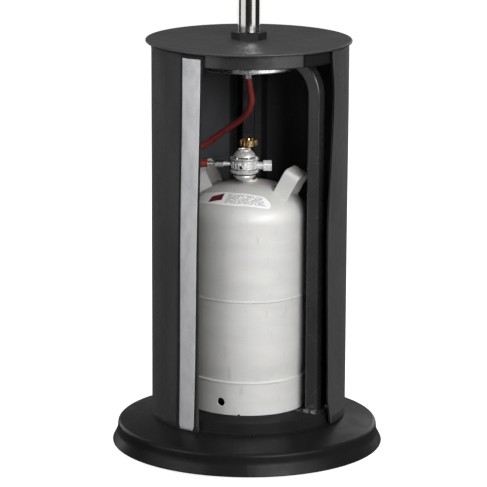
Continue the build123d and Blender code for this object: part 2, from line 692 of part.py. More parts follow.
def make_reflector():
    dome = [
        (REFLECTOR_RADIUS - 10, REFLECTOR_RIM),
        (REFLECTOR_RADIUS, REFLECTOR_RIM),
        (REFLECTOR_RADIUS, REFLECTOR_RIM + 8),
        (140, REFLECTOR_TOP),
        (3, REFLECTOR_TOP),
    ]
    reflector = pressed(dome, [3, 3.5, 90], 1.0)
    for azimuth in TIE_AZIMUTHS:
        reflector -= placed(azimuth, ROD_CIRCLE, REFLECTOR_TOP, Cylinder(4.2, 6))
    return {"reflector": reflector}


def main():
    nodes = {}
    for make in (
        make_base,
        make_legs,
        make_hub,
        make_lid,
        make_post,
        make_gas_line,
        make_bottle,
        make_valve,
        make_regulator,
        make_hose,
        make_curtain,
        make_control,
        make_burner,
        make_reflector,
    ):
        nodes.update(make())
    os.makedirs("parts", exist_ok=True)
    for name, shape in nodes.items():
        export_step(shape, f"parts/{name}.step")
    print(len(nodes), "nodes")


main()
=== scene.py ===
"""Looks for the gas patio heater: materials, fabric, hose, small sheet-metal detail, studio and camera.

Metres, +Z up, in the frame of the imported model. An azimuth is counted in degrees from the front
(-Y) towards +X.
"""

import json
import math

import bpy
from mathutils import Matrix, Vector, noise


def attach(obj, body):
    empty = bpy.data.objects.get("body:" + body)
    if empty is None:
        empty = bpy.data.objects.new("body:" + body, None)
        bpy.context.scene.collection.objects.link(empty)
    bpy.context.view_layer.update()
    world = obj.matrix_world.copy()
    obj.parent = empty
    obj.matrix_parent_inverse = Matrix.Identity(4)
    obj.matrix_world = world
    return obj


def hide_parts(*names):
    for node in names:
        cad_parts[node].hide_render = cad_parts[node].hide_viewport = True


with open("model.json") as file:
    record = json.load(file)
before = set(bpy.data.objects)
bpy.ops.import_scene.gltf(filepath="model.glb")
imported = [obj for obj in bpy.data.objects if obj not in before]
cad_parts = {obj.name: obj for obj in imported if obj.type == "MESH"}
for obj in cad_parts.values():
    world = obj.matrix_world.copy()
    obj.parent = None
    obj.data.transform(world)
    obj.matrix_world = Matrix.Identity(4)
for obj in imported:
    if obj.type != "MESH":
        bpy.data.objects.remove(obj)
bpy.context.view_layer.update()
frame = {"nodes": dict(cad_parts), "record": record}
nodes = frame["nodes"]

MM = 0.001


# ---------------------------------------------------------------- camera
CAMERA_PLACE = (-0.0084, -5.4234, 1.6149)
CAMERA_PITCH = 12.69  # degrees down
CAMERA_ROLL = 0.27
CAMERA_LENS = 214.6


def make_camera():
    """A long lens in front, a little above the lid, looking down at the base."""
    data = bpy.data.cameras.new("camera")
    data.lens = CAMERA_LENS
    data.sensor_width = 36.0
    data.clip_end = 60.0
    camera = bpy.data.objects.new("camera", data)
    bpy.context.scene.collection.objects.link(camera)
    tilt = Matrix.Rotation(math.radians(90 - CAMERA_PITCH), 4, "X")
    roll = Matrix.Rotation(math.radians(CAMERA_ROLL), 4, "Z")
    camera.matrix_world = Matrix.Translation(CAMERA_PLACE) @ tilt @ roll
    bpy.context.scene.camera = camera


# ---------------------------------------------------------------- studio
FLOOR_RADIUS = 9.0
FLOOR_SIDES = 96
FLOOR_GLOW = 0.88  # lifts the floor to white for the camera only
FLOOR_BOUNCE = 0.12  # what the object sees of it
ROOM_DARK = 0.03  # the room's light from the front, and from behind
ROOM_BRIGHT = 0.26
# Name, azimuth, distance, height, width, tall, power in watts, height aimed at.
SOFTBOXES = (
    ("box_front", 26, 3.8, 1.75, 2.2, 1.6, 135, 0.4),
    ("box_right", 48, 3.4, 0.95, 2.5, 1.9, 20, 0.7),
    ("box_right_high", 52, 3.8, 2.6, 2.4, 1.2, 26, 0.5),
    ("box_left", -64, 3.4, 0.95, 3.6, 1.9, 23, 0.7),
    ("box_left_high", -58, 3.8, 2.6, 2.4, 1.2, 44, 0.5),
    ("box_top", 0, 0.6, 4.6, 3.4, 3.4, 50, 0.0),
    ("box_back_right", 150, 4.2, 1.6, 2.4, 3.2, 30, 0.7),
    ("box_back_left", -140, 4.2, 1.6, 2.0, 3.2, 30, 0.7),
)


def make_world():
    """White for the camera; for the object a dim room, brighter towards the back."""
    world = bpy.data.worlds.new("studio")
    bpy.context.scene.world = world
    world.use_nodes = True
    tree = world.node_tree
    tree.nodes.clear()
    link = tree.links.new
    out = tree.nodes.new("ShaderNodeOutputWorld")
    mix = tree.nodes.new("ShaderNodeMixShader")
    seen = tree.nodes.new("ShaderNodeLightPath")
    white = tree.nodes.new("ShaderNodeBackground")
    white.inputs["Color"].default_value = (1, 1, 1, 1)
    room = tree.nodes.new("ShaderNodeBackground")
    place = tree.nodes.new("ShaderNodeTexCoord")
    axes = tree.nodes.new("ShaderNodeSeparateXYZ")
    ramp = tree.nodes.new("ShaderNodeMapRange")
    ramp.inputs["From Min"].default_value = -0.9
    ramp.inputs["From Max"].default_value = 1.0
    ramp.inputs["To Min"].default_value = ROOM_DARK
    ramp.inputs["To Max"].default_value = ROOM_BRIGHT
    link(place.outputs["Generated"], axes.inputs[0])
    link(axes.outputs["Y"], ramp.inputs["Value"])
    link(ramp.outputs["Result"], room.inputs["Strength"])
    link(seen.outputs["Is Camera Ray"], mix.inputs["Fac"])
    link(room.outputs[0], mix.inputs[1])
    link(white.outputs[0], mix.inputs[2])
    link(mix.outputs[0], out.inputs["Surface"])


def softbox(name, azimuth, distance, height, width, tall, power, aim):
    """A large area light round the object, looking at its axis, out of the camera's sight."""
    data = bpy.data.lights.new(name, "AREA")
    data.shape = "RECTANGLE"
    data.size, data.size_y = width, tall
    data.energy = power
    light = bpy.data.objects.new(name, data)
    bpy.context.scene.collection.objects.link(light)
    turn = math.radians(azimuth)
    place = Vector((distance * math.sin(turn), -distance * math.cos(turn), height))
    look = (Vector((0, 0, aim)) - place).to_track_quat("-Z", "Y")
    light.matrix_world = Matrix.LocRotScale(place, look, None)
    light.visible_camera = False


def make_lights():
    for box in SOFTBOXES:
        softbox(*box)


def make_floor():
    """A pale round floor; its shadows show, and its own light reaches only the camera."""
    rim = []
    for k in range(FLOOR_SIDES):
        turn = k * math.tau / FLOOR_SIDES
        rim.append((FLOOR_RADIUS * math.cos(turn), FLOOR_RADIUS * math.sin(turn), 0))
    mesh = bpy.data.meshes.new("floor")
    mesh.from_pydata(rim, [], [list(range(FLOOR_SIDES))])
    floor = bpy.data.objects.new("floor", mesh)
    bpy.context.scene.collection.objects.link(floor)
    material = bpy.data.materials.new("pale_floor")
    material.use_nodes = True
    tree = material.node_tree
    tree.nodes.clear()
    link = tree.links.new
    out = tree.nodes.new("ShaderNodeOutputMaterial")
    mix = tree.nodes.new("ShaderNodeMixShader")
    seen = tree.nodes.new("ShaderNodeLightPath")
    grey = tree.nodes.new("ShaderNodeBsdfDiffuse")
    grey.inputs["Color"].default_value = (FLOOR_BOUNCE, FLOOR_BOUNCE, FLOOR_BOUNCE, 1)
    pale = tree.nodes.new("ShaderNodeBsdfDiffuse")
    pale.inputs["Color"].default_value = (0.75, 0.75, 0.75, 1)
    glow = tree.nodes.new("ShaderNodeEmission")
    glow.inputs["Strength"].default_value = FLOOR_GLOW
    add = tree.nodes.new("ShaderNodeAddShader")
    link(seen.outputs["Is Camera Ray"], mix.inputs["Fac"])
    link(pale.outputs[0], add.inputs[0])
    link(glow.outputs[0], add.inputs[1])
    link(grey.outputs[0], mix.inputs[1])
    link(add.outputs[0], mix.inputs[2])
    link(mix.outputs[0], out.inputs["Surface"])
    mesh.materials.append(material)


# ---------------------------------------------------------------- materials
class Surface:
    """One procedural material: a Principled shader and the nodes that feed it."""

    def __init__(self, name, color, roughness, **values):
        self.material = bpy.data.materials.new(name)
        self.material.use_nodes = True
        self.tree = self.material.node_tree
        self.shader = self.tree.nodes["Principled BSDF"]
        self.shader.inputs["Base Color"].default_value = (*color, 1)
        self.shader.inputs["Roughness"].default_value = roughness
        for socket, value in values.items():
            self.shader.inputs[socket.replace("_", " ")].default_value = value
        self.place = self.add("TexCoord").outputs["Object"]
        self.normal = None

    def add(self, kind, inputs=None, **settings):
        """A node of that kind, with its inputs set to values or linked to sockets."""
        node = self.tree.nodes.new("ShaderNode" + kind)
        for key, value in settings.items():
            setattr(node, key, value)
        for key, value in (inputs or {}).items():
            if isinstance(value, bpy.types.NodeSocket):
                self.tree.links.new(value, node.inputs[key])
            else:
                node.inputs[key].default_value = value
        return node

    def math(self, operation, first, second=0.0):
        return self.add("Math", {0: first, 1: second}, operation=operation).outputs[0]

    def axis(self, name):
        return self.add("SeparateXYZ", {0: self.place}).outputs[name]

    def azimuth(self):
        """The angle round the object in radians, from the front towards +X."""
        back = self.math("MULTIPLY", self.axis("Y"), -1.0)
        return self.math("ARCTAN2", self.axis("X"), back)

    def drum(self, radius):
        """Flat coordinates on an upright round wall: metres along it, and height."""
        along = self.math("MULTIPLY", self.azimuth(), radius)
        return self.add("CombineXYZ", {"X": along, "Y": self.axis("Z")}).outputs[0]

    def grain(self, scale, detail=3.0, stretch=(1, 1, 1), place=None):
        """Noise, from 0 to 1, of that many features per metre."""
        spread = self.add("Mapping", {"Vector": place or self.place, "Scale": stretch}).outputs[0]
        return self.add("TexNoise", {"Vector": spread, "Scale": scale, "Detail": detail}).outputs["Fac"]

    def ramp(self, factor, *stops):
        """A colour or grey that runs through (position, colour) stops."""
        node = self.add("ValToRGB", {0: factor})
        elements = node.color_ramp.elements
        for index, (position, color) in enumerate(stops):
            element = elements[index] if index < 2 else elements.new(position)
            element.position = position
            element.color = (*color, 1) if hasattr(color, "__len__") else (color, color, color, 1)
        return node.outputs[0]

    def blend(self, factor, first, second):
        """The first colour where the factor is 0, the second where it is 1."""
        node = self.add("Mix", {0: factor}, data_type="RGBA")
        for socket, value in ((node.inputs[6], first), (node.inputs[7], second)):
            if isinstance(value, bpy.types.NodeSocket):
                self.tree.links.new(value, socket)
            else:
                socket.default_value = (*value, 1)
        return node.outputs[2]

    def color(self, socket):
        self.tree.links.new(socket, self.shader.inputs["Base Color"])
        return self

    def shade(self, scale, low, high, detail=4.0, stretch=(1, 1, 1)):
        """Base colour that wanders between two shades."""
        return self.color(self.ramp(self.grain(scale, detail, stretch), (0.35, low), (0.65, high)))

    def roughen(self, factor, low, high):
        """Roughness that wanders between two values."""
        inputs = {"Value": factor, "From Min": 0.3, "From Max": 0.7, "To Min": low, "To Max": high}
        spread = self.add("MapRange", inputs)
        self.tree.links.new(spread.outputs["Result"], self.shader.inputs["Roughness"])
        return self

    def relief(self, height, depth):
        """Bumps of that depth in metres, on top of those already there."""
        inputs = {"Height": height, "Distance": depth, "Strength": 1.0}
        if self.normal:
            inputs["Normal"] = self.normal
        self.normal = self.add("Bump", inputs).outputs[0]
        self.tree.links.new(self.normal, self.shader.inputs["Normal"])
        return self

    def weave(self, place, thread):
        """Plain weave with that thread pitch in metres, as a height from 0 to 1."""
        scale = math.tau / 20 / (2 * thread)
        warp = self.add("TexWave", {"Vector": place, "Scale": scale}, bands_direction="X").outputs["Fac"]
        weft = self.add("TexWave", {"Vector": place, "Scale": scale}, bands_direction="Y").outputs["Fac"]
        over = self.math("MULTIPLY", warp, weft)
        under = self.math("MULTIPLY", self.math("SUBTRACT", 1.0, warp), self.math("SUBTRACT", 1.0, weft))
        return self.math("ADD", over, under)


def powder_coat(name, low, high, roughness, grain_depth=0.00004, **values):
    """Powder-coated sheet: fine orange peel, faint dust and rubbed patches."""
    coat = Surface(name, high, roughness, **values)
    coat.shade(14, low, high)
    coat.roughen(coat.grain(23, 5), roughness - 0.06, roughness + 0.09)
    coat.relief(coat.grain(650, 2), grain_depth)
    return coat.material


def machined(name, low, high, roughness, depth=0.00003, **values):
    """Bare turned or cast metal with fine tool marks and tarnish."""
    metal = Surface(name, high, roughness, Metallic=1.0, **values)
    metal.shade(60, low, high, 5)
    metal.roughen(metal.grain(160, 4), roughness - 0.08, roughness + 0.12)
    metal.relief(metal.grain(900, 2), depth)
    return metal.material


def polished_tube(name):
    """Bright stainless tube: mirror polish with a trace of drawing lines and faint smears."""
    metal = Surface(name, (0.62, 0.61, 0.59), 0.07, Metallic=1.0)
    metal.shade(9, (0.58, 0.57, 0.55), (0.66, 0.65, 0.63), 3, (1, 1, 0.15))
    metal.roughen(metal.grain(40, 4, (1, 1, 0.1)), 0.05, 0.12)
    metal.relief(metal.grain(1400, 2, (1, 1, 0.01)), 0.000004)
    return metal.material


def cast_metal(name):
    """Die-cast zinc with a bright satin skin, small pits and duller spots."""
    metal = Surface(name, (0.82, 0.82, 0.81), 0.33, Metallic=0.55)
    metal.shade(210, (0.6, 0.6, 0.59), (0.9, 0.9, 0.89), 4)
    metal.roughen(metal.grain(300, 3), 0.24, 0.46)
    metal.relief(metal.grain(420, 4), 0.00009)
    return metal.material


WELD_HEIGHT = 0.3052
WELD_HALF_WIDTH = 0.0035
WELD_SCALES = 200  # scales of the bead per radian


def bottle_paint(name):
    """Silver-grey enamel on a drawn shell: faint rolling lines, scuffs and weld scale at the seam."""
    paint = Surface(name, (0.62, 0.615, 0.6), 0.5, Metallic=0.12, Specular_IOR_Level=0.3)
    rolled = paint.grain(12, 5, (1, 1, 3))
    body = paint.ramp(rolled, (0.3, (0.59, 0.585, 0.57)), (0.7, (0.655, 0.65, 0.635)))
    scuffs = paint.ramp(paint.grain(90, 6, (1, 1, 0.3)), (0.62, 0.0), (0.75, 1.0))
    paint.color(paint.blend(scuffs, body, (0.53, 0.525, 0.515)))
    paint.roughen(paint.grain(55, 5, (1, 1, 6)), 0.42, 0.58)
    paint.relief(paint.grain(60, 2, (1, 1, 14)), 0.00008)
    paint.relief(paint.grain(700, 2), 0.00002)
    off = paint.math("ABSOLUTE", paint.math("SUBTRACT", paint.axis("Z"), WELD_HEIGHT))
    around = paint.math("MULTIPLY", paint.azimuth(), WELD_SCALES)
    scales = paint.math("SINE", paint.math("ADD", around, paint.grain(90, 2)))
    paint.relief(paint.math("MULTIPLY", scales, paint.math("LESS_THAN", off, WELD_HALF_WIDTH)), 0.00018)
    return paint.material


def label_film(name):
    """Pale printed film, soft with age, with faint fingermarks."""
    film = Surface(name, (0.68, 0.68, 0.68), 0.35)
    film.color(film.ramp(film.grain(80, 4), (0.3, (0.84, 0.84, 0.85)), (0.7, (0.93, 0.93, 0.93))))
    film.roughen(film.grain(120, 4), 0.3, 0.42)
    film.relief(film.grain(500, 2), 0.00002)
    return film.material


def hose_rubber(name):
    """Red gas hose: smooth rubber with faint dust, a soft gloss and small mould ripples."""
    rubber = Surface(name, (0.2, 0.024, 0.02), 0.3)
    rubber.shade(30, (0.16, 0.02, 0.017), (0.22, 0.03, 0.025), 5)
    rubber.roughen(rubber.grain(120, 4), 0.28, 0.42)
    rubber.relief(rubber.grain(420, 3), 0.00006)
    return rubber.material


WEAVE_RADIUS = 0.186  # round which the cloths' threads are laid out
# Where the lining's two dark bands of painted shade lie, each side of the back.
SHADE_BAND_AZIMUTH = 2.97  # radians, each side
SHADE_BAND_HALF_WIDTH = 0.032


def coated_fabric(name, radius, low, high, roughness, thread=0.0006, shade_bands=False):
    """Coated polyester cloth: weave, soft creases, a dusty sheen, and, when asked, two dark bands of painted
    shade near the back.
    """
    cloth = Surface(name, high, roughness, Sheen_Weight=0.03, Sheen_Roughness=0.5, Specular_IOR_Level=0.25)
    flat = cloth.drum(radius)
    tone = cloth.ramp(cloth.grain(18, 6, (1, 1, 0.35)), (0.35, low), (0.65, high))
    # painted shade: the lining darker in two bands near the back
    if shade_bands:
        side = cloth.math("ABSOLUTE", cloth.azimuth())
        off = cloth.math("ABSOLUTE", cloth.math("SUBTRACT", side, SHADE_BAND_AZIMUTH))
        tone = cloth.blend(cloth.math("LESS_THAN", off, SHADE_BAND_HALF_WIDTH), tone, (0.006, 0.006, 0.007))
    cloth.color(tone)
    cloth.roughen(cloth.grain(70, 4), roughness - 0.05, roughness + 0.08)
    cloth.relief(cloth.grain(7, 3, (1, 1, 0.4)), 0.0016)
    cloth.relief(cloth.weave(flat, thread), 0.00012)
    return cloth.material


def loop_fabric(name, radius):
    """The soft half of a hook-and-loop strip: a mat of fine loops on a knitted ground."""
    pile = Surface(name, (0.36, 0.365, 0.39), 0.9, Sheen_Weight=0.35, Sheen_Roughness=0.4)
    flat = pile.drum(radius)
    loops = pile.add("TexVoronoi", {"Vector": flat, "Scale": 900.0}).outputs["Distance"]
    tone = pile.math("ADD", pile.math("MULTIPLY", loops, 0.4), pile.grain(55, 5, (1, 1, 0.5)))
    loop_tone = pile.ramp(tone, (0.35, (0.41, 0.413, 0.43)), (0.85, (0.59, 0.593, 0.61)))
    below = pile.math("SUBTRACT", 0.78, pile.axis("Z"))  # darker towards the bottom
    # the strip's colour is made darker towards the bottom
    darker_low = pile.math("MULTIPLY", below, 0.55)
    pile.color(pile.blend(darker_low, loop_tone, (0.2, 0.2, 0.215)))
    pile.relief(pile.grain(40, 4, (1, 1, 0.3)), 0.0006)
    pile.relief(loops, 0.0003)
    return pile.material


def hook_fabric(name, radius):
    """The stiff half: rows of small hooks on a matt black ground."""
    tape = Surface(name, (0.006, 0.006, 0.006), 0.75, Specular_IOR_Level=0.15)
    rows = tape.add("TexVoronoi", {"Vector": tape.drum(radius), "Scale": 550.0, "Randomness": 0.25})
    hooks = rows.outputs["Distance"]
    tape.color(tape.ramp(hooks, (0.1, (0.013, 0.013, 0.014)), (0.5, (0.004, 0.004, 0.004))))
    tape.relief(hooks, 0.0004)
    return tape.material


def moulded(name, low, high, roughness, depth=0.00006):
    """Moulded plastic or rubber with a fine spark texture."""
    plastic = Surface(name, high, roughness, Specular_IOR_Level=0.3)
    plastic.shade(45, low, high)
    plastic.roughen(plastic.grain(90, 4), roughness - 0.05, roughness + 0.08)
    plastic.relief(plastic.grain(1300, 2), depth)
    return plastic.material


def concrete(name):
    """Cast ballast: sand grain, air holes and patches."""
    cast = Surface(name, (0.3, 0.29, 0.27), 0.92)
    cast.shade(35, (0.22, 0.215, 0.2), (0.38, 0.37, 0.35), 8)
    holes = cast.add("TexVoronoi", {"Vector": cast.place, "Scale": 140.0}).outputs["Distance"]
    cast.relief(cast.ramp(holes, (0.05, 0.0), (0.2, 1.0)), 0.0008)
    cast.relief(cast.grain(900, 4), 0.0003)
    return cast.material


def spun_sheet(name):
    """Spun aluminium: fine rings round the axis, cleaner and duller zones."""
    sheet = Surface(name, (0.8, 0.81, 0.82), 0.24, Metallic=1.0)
    x, y = sheet.axis("X"), sheet.axis("Y")
    squares = sheet.math("ADD", sheet.math("MULTIPLY", x, x), sheet.math("MULTIPLY", y, y))
    reach = sheet.math("SQRT", squares)
    rings = sheet.add("CombineXYZ", {"X": reach}).outputs[0]
    sheet.shade(8, (0.5, 0.505, 0.51), (0.6, 0.605, 0.61), 5)
    sheet.roughen(sheet.grain(260, 4, place=rings), 0.32, 0.46)
    sheet.relief(sheet.grain(520, 3, place=rings), 0.00005)
    return sheet.material


HEAT_START = 1.88  # height from which the tints run


def heated_steel(name):
    """Stainless mesh and burner parts with straw and blue heat tints low down."""
    steel = Surface(name, (0.6, 0.58, 0.55), 0.3, Metallic=1.0)
    tint = steel.math("ADD", steel.axis("Z"), steel.math("MULTIPLY", steel.grain(14, 4), 0.12))
    steel.color(
        steel.ramp(
            steel.math("SUBTRACT", tint, HEAT_START),
            (0.05, (0.3, 0.24, 0.18)),
            (0.16, (0.44, 0.42, 0.4)),
            (0.1, (0.26, 0.26, 0.31)),
        )
    )
    steel.roughen(steel.grain(90, 4), 0.22, 0.45)
    steel.relief(steel.grain(700, 2), 0.00003)
    return steel.material


# Nodes whose finish is a variant of their slot's.
OWN_FINISH = {
    "apron_ring": "apron_paint",
    "plinth": "plinth_paint",
    "collar_nut": "collar_paint",
    "hub_dish": "satin_stainless",
    "control_housing": "brushed_stainless",
}


def make_materials():
    """Every finish by its slot's name, given to the CAD parts."""
    finishes = {
        "base_paint": powder_coat(
            "base_paint",
            (0.007, 0.0068, 0.007),
            (0.011, 0.0105, 0.011),
            0.32,
            0.00001,
            Specular_IOR_Level=0.11,
        ),
        "plinth_paint": powder_coat(
            "plinth_paint", (0.009, 0.0085, 0.009), (0.014, 0.013, 0.014), 0.6, Specular_IOR_Level=0.05
        ),
        "lid_paint": powder_coat("lid_paint", (0.035, 0.034, 0.035), (0.045, 0.043, 0.045), 0.5),
        "apron_paint": powder_coat(
            "apron_paint",
            (0.018, 0.018, 0.018),
            (0.024, 0.024, 0.024),
            0.26,
            0.00001,
            Specular_IOR_Level=0.62,
        ),
        "collar_paint": moulded("collar_paint", (0.006, 0.006, 0.006), (0.01, 0.01, 0.01), 0.4),
        "satin_stainless": machined(
            "satin_stainless", (0.82, 0.81, 0.8), (0.93, 0.92, 0.91), 0.28, 0.000006
        ),
        "brushed_stainless": machined(
            "brushed_stainless", (0.4, 0.395, 0.39), (0.5, 0.495, 0.49), 0.4, 0.00001
        ),
        "inner_paint": powder_coat(
            "inner_paint", (0.02, 0.02, 0.0205), (0.027, 0.027, 0.028), 0.24, 0.00001, Specular_IOR_Level=0.5
        ),
        "stainless": polished_tube("stainless"),
        "zinc_steel": machined("zinc_steel", (0.74, 0.74, 0.75), (0.9, 0.9, 0.9), 0.25),
        "brass": machined("brass", (0.42, 0.27, 0.11), (0.72, 0.52, 0.26), 0.28),
        "die_cast": cast_metal("die_cast"),
        "bottle_paint": bottle_paint("bottle_paint"),
        "label_film": label_film("label_film"),
        "hose_rubber": hose_rubber("hose_rubber"),
        "black_plastic": moulded("black_plastic", (0.008, 0.008, 0.008), (0.014, 0.014, 0.014), 0.4),
        "knob_plastic": moulded("knob_plastic", (0.010, 0.010, 0.010), (0.018, 0.018, 0.018), 0.3),
        "pad_rubber": moulded("pad_rubber", (0.012, 0.012, 0.012), (0.02, 0.02, 0.02), 0.7, 0.0002),
        "ballast": concrete("ballast"),
        "curtain_fabric": coated_fabric(
            "curtain_fabric", WEAVE_RADIUS, (0.036, 0.036, 0.037), (0.047, 0.047, 0.048), 0.7
        ),
        "loop_fabric": loop_fabric("loop_fabric", WEAVE_RADIUS),
        "hook_fabric": hook_fabric("hook_fabric", 0.182),
        "reflector_sheet": spun_sheet("reflector_sheet"),
        "emitter_steel": heated_steel("emitter_steel"),
        "copper": machined("copper", (0.5, 0.2, 0.1), (0.8, 0.4, 0.25), 0.3),
    }
    for part in frame["record"]["subparts"]:
        mesh = nodes[part["node"]].data
        mesh.materials.clear()
        mesh.materials.append(finishes[OWN_FINISH.get(part["node"], part["material_slot"])])
    return finishes


# ---------------------------------------------------------------- mesh helpers
def on_drum(azimuth, radius, height):
    turn = math.radians(azimuth)
    return Vector((radius * math.sin(turn), -radius * math.cos(turn), height))


def away(point):
    """The level direction from the object's axis to a point."""
    return Vector((point.x, point.y, 0)).normalized()


def spread(start, end, count):
    """Evenly spaced numbers, both ends in."""
    return [start + (end - start) * k / (count - 1) for k in range(count)]


def piece(name, points, faces, material, slot, body="frame", smooth=True):
    """A mesh object that rides on a body and takes the finish it is given; its slot is not used."""
    mesh = bpy.data.meshes.new(name)
    mesh.from_pydata([tuple(p) for p in points], [], faces)
    mesh.validate()
    mesh.shade_smooth() if smooth else mesh.shade_flat()
    mesh.materials.append(material)
    made = bpy.data.objects.new(name, mesh)
    bpy.context.scene.collection.objects.link(made)
    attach(made, body)
    return made


def grid_faces(columns, rows, wrap=False):
    """Quads of a grid whose points run row by row within each column."""
    faces = []
    for c in range(columns if wrap else columns - 1):
        n = (c + 1) % columns
        for r in range(rows - 1):
            faces.append((c * rows + r, c * rows + r + 1, n * rows + r + 1, n * rows + r))
    return faces


def cloth(name, shares, heights, place, materials, slot, thickness, body="frame"):
    """A sheet on the drum: place(share across it, height) gives each point; the lining is inside."""
    points = [place(share, height) for share in shares for height in heights]
    made = piece(name, points, grid_faces(len(shares), len(heights)), materials[0], slot, body)
    made.data.materials.append(materials[-1])
    skin = made.modifiers.new("skin", "SOLIDIFY")
    skin.thickness = thickness
    skin.offset = 0.0
    skin.material_offset = 1
    return made


# ---------------------------------------------------------------- hose
HOSE_ROUTE = [
    (-0.077, -0.038, 0.557),
    (-0.123, -0.038, 0.557),
    (-0.161, -0.006, 0.553),
    (-0.162, 0.048, 0.546),
    (-0.130, 0.088, 0.543),
    (-0.084, 0.096, 0.566),
    (-0.043, 0.072, 0.603),
    (-0.008, 0.037, 0.631),
    (0.008, 0.012, 0.666),
    (0.002, 0.001, 0.697),
    (0, 0, 0.714),
]
HOSE_DIAMETER = 0.012


def make_cuff(finishes):
    """The moulded sleeve over the hose's end, with three ribs."""
    profile = [(0, 6.1), (0, 7.2), (0.7, 7.8), (2.2, 7.8)]  # distance along it, radius, in millimetres
    for rib in (3.4, 6.2, 9.0):
        profile += [(rib, 7.1), (rib + 0.9, 7.1), (rib + 1.3, 7.75), (rib + 2.3, 7.75)]
    profile += [(12.6, 7.1), (14.5, 7.0), (16.4, 6.8), (17, 6.4), (17, 6.1)]
    origin, sides, rows = Vector(HOSE_ROUTE[0]), 32, len(profile)
    points = []
    for k in range(sides):
        turn = math.tau * k / sides
        for along, radius in profile:
            ring = Vector((0, math.cos(turn), math.sin(turn))) * radius * MM
            points.append(origin + Vector((-along * MM, 0, 0)) + ring)
    faces = grid_faces(sides, rows, wrap=True)
    for k in range(sides):  # the bore
        n = (k + 1) % sides
        faces.append((n * rows + rows - 1, n * rows, k * rows, k * rows + rows - 1))
    cuff = piece("hose_sleeve", points, faces, finishes["hose_rubber"], "hose_rubber")
    cuff.data.set_sharp_from_angle(angle=math.radians(35))
    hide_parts("hose_cuff")
    return cuff


def make_hose(finishes):
    curve = bpy.data.curves.new("gas_hose_line", "CURVE")
    curve.dimensions = "3D"
    curve.bevel_depth = HOSE_DIAMETER / 2
    curve.bevel_resolution = 8
    spline = curve.splines.new("NURBS")
    spline.points.add(len(HOSE_ROUTE) - 1)
    for point, place in zip(spline.points, HOSE_ROUTE):
        point.co = (*place, 1)
    spline.order_u = 3
    spline.use_endpoint_u = True
    spline.resolution_u = 14
    spline.use_smooth = True
    curve.materials.append(finishes["hose_rubber"])
    hose = bpy.data.objects.new("hose", curve)
    bpy.context.scene.collection.objects.link(hose)
    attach(hose, "frame")
    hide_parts("gas_hose")
    cuff = make_cuff(finishes)


# ---------------------------------------------------------------- curtain
PANEL_RADIUS = 0.184  # to the middle of the cloth
PANEL_EDGE = 330.2  # the fixed panel's left-hand edge, round the back from its right-hand one
FLAP_RADIUS = 0.1888
FLAP_SPAN = 110
SEAMS = (118, 180, 242, 303)  # azimuths of the panel's felled seams
CURTAIN_TOP = 0.783
CURTAIN_BOTTOM = 0.066
CLOTH = 0.0012  # thickness
TAPE = 0.0009
APRON_TAPE_RADIUS = 0.1812
FLAP_TAPE_INSET = 0.00115  # from the flap's middle surface to its tape's
HEM_HALF = 0.00135
PANEL_HEM = (0.0635, 0.0115)  # height of its lower edge, width
FLAP_HEM = (0.0665, 0.0135)
FOLD_RADIUS = 0.0013
# The front edge on the right wanders: (height, azimuth) from top to bottom.
EDGE_LINE = [(0.783, 55.2), (0.70, 58.0), (0.43, 53.2), (0.12, 54.7), (0.066, 57.4)]


def edge_azimuth(height):
    """The azimuth of the right-hand front edge at a height, smooth between the given points."""
    for (high, start), (low, end) in zip(EDGE_LINE, EDGE_LINE[1:]):
        if height >= low:
            share = min(1.0, max(0.0, (high - height) / (high - low)))
            share = share * share * (3 - 2 * share)
            return start + (end - start) * share
    return EDGE_LINE[-1][1]


def sway(azimuth, height, seed):
    """The cloth's soft waves, from -1 to 1, with none at the top tape."""
    hang = min(1.0, (CURTAIN_TOP - height) / 0.12)
    place = Vector((azimuth / 14.0, height * 2.2, seed))
    return hang * max(-1.0, min(1.0, 1.6 * noise.noise(place)))


def seam_ridge(azimuth):
    """A felled seam stands a little proud of the cloth."""
    return max(math.exp(-(((azimuth - seam) / 1.1) ** 2)) for seam in SEAMS)


def panel_surface(azimuth, height, lift=0.0):
    """A point on the fixed panel's middle surface, or lifted off it."""
    wave = 0.0009 * sway(azimuth, height, 3.0) - 0.0004
    return on_drum(azimuth, PANEL_RADIUS + wave + 0.0007 * seam_ridge(azimuth) + lift, height)


def panel_point(share, height):
    """Share runs from the right-hand front edge round the back to the left-hand one."""
    start = edge_azimuth(height) + 0.8
    return panel_surface(start + (PANEL_EDGE - start) * share, height)


def flap_surface(share, height, lift=0.0):
    """A point on the flap's middle surface; share runs back from the front edge."""
    azimuth = edge_azimuth(height) + FLAP_SPAN * share
    radius = FLAP_RADIUS + 0.0006 * sway(azimuth, height, 8.0)
    return on_drum(azimuth, radius + lift, height)


def strip_tape(name, radius, azimuths, high, low, finish, body="frame"):
    """A straight tape round the drum."""
    def place(azimuth, height):
        return on_drum(azimuth, radius, height)

    columns, rows = spread(*azimuths, 90), spread(high, low, 8)
    return cloth(name, columns, rows, place, (finish,), "hook_fabric", TAPE, body)


def binding(name, points, width, half, finish, body="frame"):
    """Tape folded over a cloth's lower edge: points run along it, half is its half thickness."""
    profile = [(-half, width), (-half, 0.001), (-half * 0.7, -0.0006), (0, -0.0011), (half * 0.7, -0.0006)]
    profile += [(half, 0.001), (half, width), (half - 0.0005, width + 0.0002), (half - 0.0006, 0.0016)]
    profile += [(0, 0.0004), (0.0006 - half, 0.0016), (0.0005 - half, width + 0.0002)]
    rows = len(profile)
    ring = [point + away(point) * side + Vector((0, 0, rise)) for point in points for side, rise in profile]
    faces = []
    for c in range(len(points) - 1):
        for r in range(rows):
            n = (r + 1) % rows
            faces.append((c * rows + r, (c + 1) * rows + r, (c + 1) * rows + n, c * rows + n))
    faces.append(tuple(range(rows)))
    faces.append(tuple(reversed(range((len(points) - 1) * rows, len(points) * rows))))
    return piece(name, ring, faces, finish, "hook_fabric", body)


